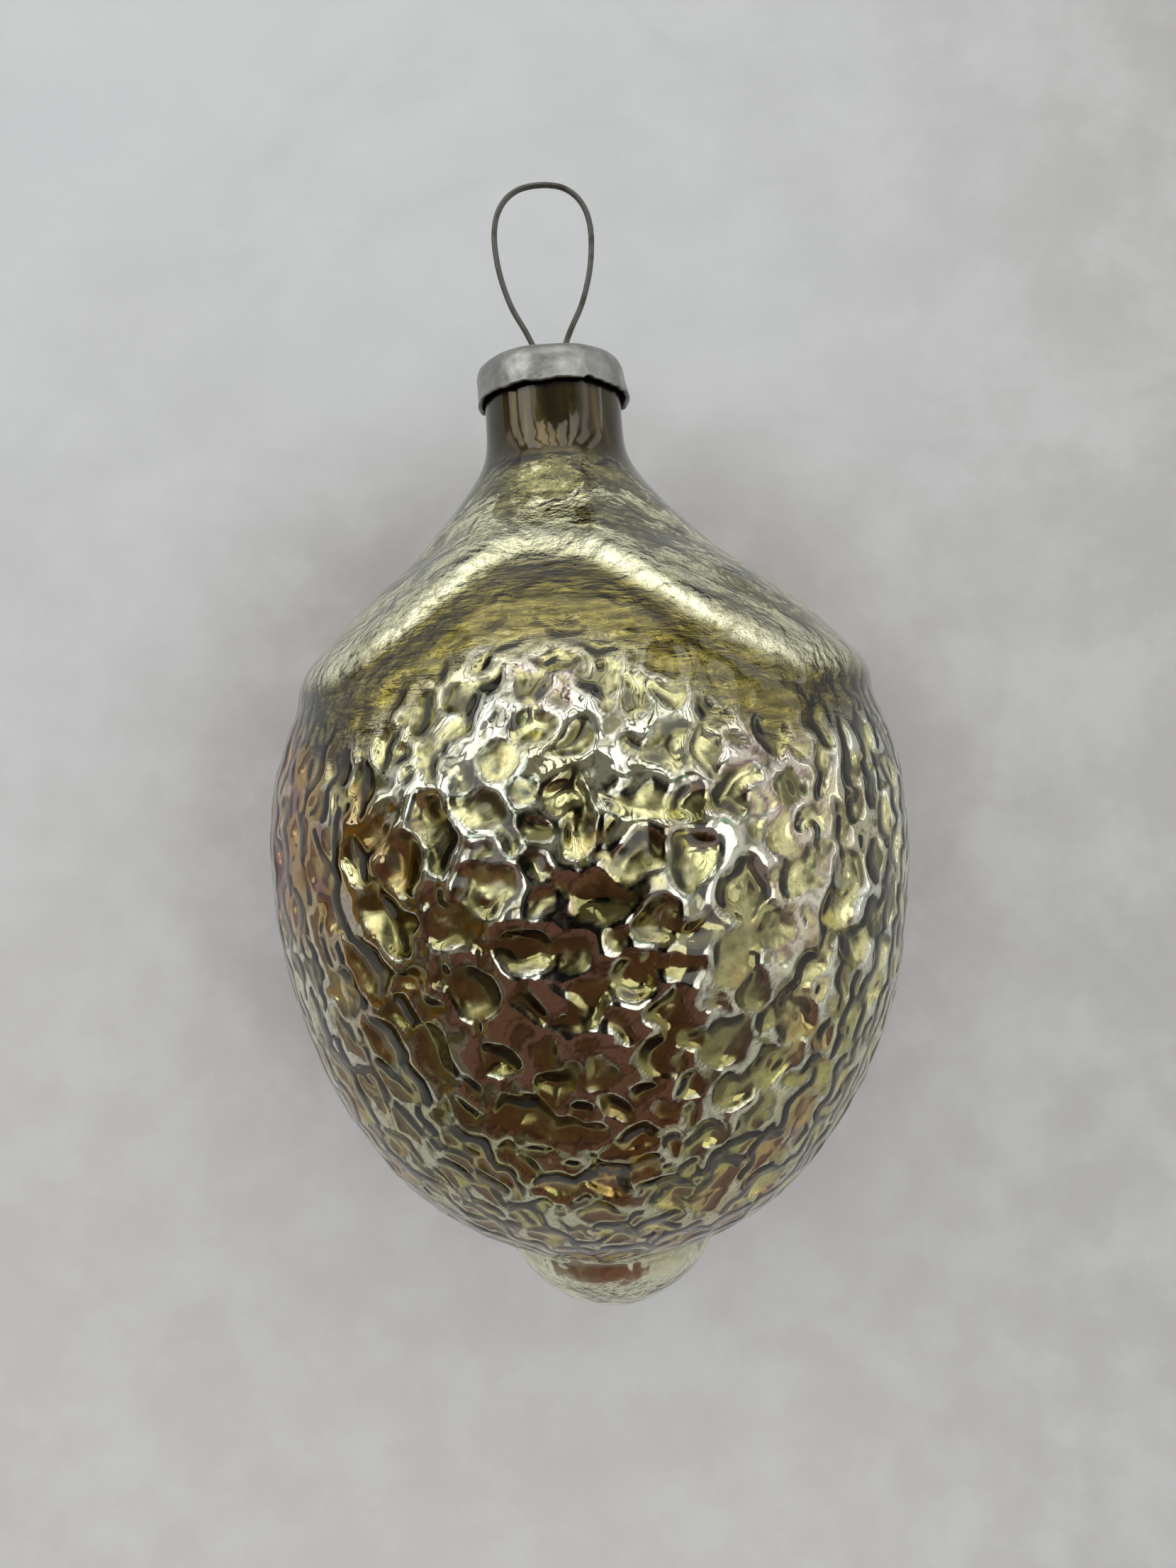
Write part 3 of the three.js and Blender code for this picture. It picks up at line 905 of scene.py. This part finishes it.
PAPER_BEHIND = 25.6  # the paper's distance behind the ornament's axis
PAPER_HALF = 1500.0  # half its width and height, large enough to fill the picture from any side
PAPER_LINES = 240
PAPER_SHADE_Z = -49.0  # the middle of the soft shade that the ornament throws on it
PAPER_SHADE_SQUEEZE = (1.15, 1.2)  # how much smaller than a circle the shade is, across and up


def make_paper():
    """A faintly wrinkled sheet standing behind the ornament."""
    line = np.linspace(-PAPER_HALF, PAPER_HALF, PAPER_LINES)
    x, z = np.meshgrid(line, line + LEMON_MIDDLE)
    flat = np.stack([x, np.full_like(x, PAPER_BEHIND), z], -1)
    flat[..., 1] += 0.9 * waves(flat, 150.0, 61) + 0.35 * waves(flat, 60.0, 62)
    faces = grid_faces(PAPER_LINES, PAPER_LINES, closed=False)
    sheet = make_mesh("paper_sheet", flat.reshape(-1, 3), faces)
    sheet.data.materials.append(paper())


# Each patch has a name, its azimuth from -Y to the right and its elevation, both as (low, high), and
# the width of its edge, all in degrees, and then a colour and a brightness. Later ones cover earlier.
ROOM = [
    ("ceiling", (-180, 180), (22, 80), 15, (1.0, 1.0, 0.82), 0.20),
    ("overhead", (-180, 180), (66, 90), 10, (1.0, 1.0, 0.90), 1.25),
    ("right", (40, 150), (-30, 34), 20, (1.0, 0.98, 0.92), 0.8),
    ("right_low", (62, 150), (-80, -24), 16, (1.0, 0.97, 0.86), 0.58),
    ("left", (-150, -58), (-75, 24), 14, (0.85, 0.72, 0.50), 0.17),
    ("middle", (-50, 40), (-4, 26), 10, (1.0, 0.94, 0.74), 0.24),
    ("window_0", (-135, -82), (26, 60), 3, (1.0, 1.0, 0.96), 0.9),
    ("window_1", (-77, -63), (12, 54), 2, (1.0, 1.0, 0.96), 1.6),
    ("window_2", (-58, -34), (14, 64), 2, (1.0, 1.0, 0.98), 2.3),
    ("window_3", (-29, -17), (26, 65), 2, (1.0, 1.0, 0.98), 2.1),
    ("window_4", (-12, 1), (32, 67), 2, (1.0, 1.0, 0.98), 2.1),
    ("window_5", (7, 21), (28, 67), 2, (1.0, 1.0, 0.98), 2.1),
    ("window_6", (28, 44), (22, 65), 2, (1.0, 1.0, 0.98), 2.1),
    ("window_7", (52, 66), (14, 58), 2, (1.0, 1.0, 0.96), 1.5),
    ("window_8", (78, 130), (30, 60), 3, (1.0, 1.0, 0.96), 1.2),
    ("side_window", (84, 98), (-5, 26), 3, (0.97, 1.0, 1.0), 1.8),
    ("pink_shade", (-60, 46), (-84, -6), 10, (0.86, 0.42, 0.30), 0.17),
    ("grey_shade", (-22, 18), (-22, 10), 8, (0.62, 0.60, 0.46), 0.13),
    ("left_lamp", (-36, -25), (-12, 4), 4, (1.0, 1.0, 0.98), 2.2),
    ("right_lamp", (20, 44), (-22, 4), 5, (1.0, 1.0, 0.98), 2.0),
    ("left_strip", (-33, -28), (4, 26), 2, (0.85, 1.0, 0.95), 1.4),
    ("green_strip", (40, 47), (4, 24), 3, (0.65, 0.95, 0.7), 0.6),
    ("grey_strip", (60, 70), (2, 30), 3, (0.95, 0.85, 0.92), 0.7),
    ("dark_spot", (-12, 14), (-22, 4), 2, (0.5, 0.5, 0.5), 0.02),
    ("amber", (-90, -70), (-30, 4), 8, (0.95, 0.50, 0.08), 0.24),
    ("magenta", (-106, -98), (-40, 30), 2, (0.9, 0.05, 0.30), 0.35),
]
ROOM_BASE = (0.42, 0.42, 0.41)
ROOM_UNEVEN = 0.3  # how far a noise bends the patches' edges
ROOM_LIGHT = (0.70, 0.71, 0.72)  # what matt surfaces are lit by
ROOM_SEEN = (0.50, 0.50, 0.50)  # what the camera sees beyond the paper


def uneven_direction(n):
    """The direction a ray comes from, bent by a noise so that no patch has a straight edge."""
    direction = n.add("ShaderNodeTexCoord").outputs["Generated"]
    noise = n.add("ShaderNodeTexNoise")
    noise.inputs["Scale"].default_value = 4.0
    n.link(direction, noise.inputs["Vector"])
    moved = n.vector("MULTIPLY_ADD", noise.outputs["Color"], (ROOM_UNEVEN,) * 3, direction)
    centred = n.vector("SUBTRACT", moved.outputs[0], (ROOM_UNEVEN / 2,) * 3)
    return n.vector("NORMALIZE", centred.outputs[0]).outputs[0]


def make_world():
    """The room as patches of direction. Matt surfaces get a plain light, and the camera a plain grey."""
    world = bpy.data.worlds.new("room")
    bpy.context.scene.world = world
    n = Nodes(world, "World")

    def within(angle, low, high, edge):
        """One between two angles and zero outside them, with soft edges."""
        half, middle = math.radians(high - low) / 2, math.radians(high + low) / 2
        off = n.maths("ABSOLUTE", n.maths("SUBTRACT", angle, middle))
        return n.ramp(off, half + math.radians(edge) / 2, half - math.radians(edge) / 2)

    def background(colour):
        node = n.add("ShaderNodeBackground")
        n.link(colour, node.inputs["Color"])
        return node.outputs[0]

    parts = n.add("ShaderNodeSeparateXYZ")
    n.link(uneven_direction(n), parts.inputs[0])
    azimuth = n.maths("ARCTAN2", parts.outputs["X"], n.times(parts.outputs["Y"], -1.0))
    elevation = n.maths("ARCSINE", parts.outputs["Z"])
    colour = ROOM_BASE
    for name, across, up, edge, tint, brightness in ROOM:
        share = n.times(within(azimuth, *across, edge), within(elevation, *up, edge))
        colour = n.mix(share, colour, tuple(part * brightness for part in tint))
        colour.node.label = name
    path = n.add("ShaderNodeLightPath")
    lit = n.choose(path.outputs["Is Diffuse Ray"], background(colour), background(ROOM_LIGHT))
    seen = n.choose(path.outputs["Is Camera Ray"], lit, background(ROOM_SEEN))
    n.link(seen, n.output.inputs["Surface"])


CAMERA_DISTANCE = 91.0
CAMERA_SIDEWAYS = 0.92
CAMERA_HEIGHT = -46.25
CAMERA_ROLL = math.radians(3.5)
CAMERA_LENS, CAMERA_FRAME = 27.0, 36.0  # the lens, and the long side of the frame it is stated for
CAMERA_NEAREST = 5.0


def make_camera():
    """A phone's wide camera held close, near the height of the lemon's middle and rolled a little."""
    camera = bpy.data.cameras.new("camera")
    camera.sensor_width = CAMERA_FRAME
    camera.lens = CAMERA_LENS
    camera.clip_start = CAMERA_NEAREST * MM
    holder = bpy.data.objects.new("camera", camera)
    bpy.context.scene.collection.objects.link(holder)
    holder.location = Vector((CAMERA_SIDEWAYS, -CAMERA_DISTANCE, CAMERA_HEIGHT)) * MM
    level = Matrix.Rotation(math.pi / 2, 4, "X")
    holder.rotation_euler = (Matrix.Rotation(CAMERA_ROLL, 4, "Y") @ level).to_euler()
    bpy.context.scene.camera = holder


# ---- Putting it together ----

make_camera()
make_world()
make_paper()

for piece, material in zip(make_glass(), (clear_glass(), silvered_glass())):
    piece.data.materials.append(material)
    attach(piece, "glass")
    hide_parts("glass_body")

cap = make_cap()
cap.data.materials.append(cap_metal())
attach(cap, "cap")
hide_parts("cap")

wire = make_wire()
wire.data.materials.append(wire_steel())
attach(wire, "hanger")
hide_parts("wire_hanger")

bpy.context.scene.view_settings.view_transform = "Standard"
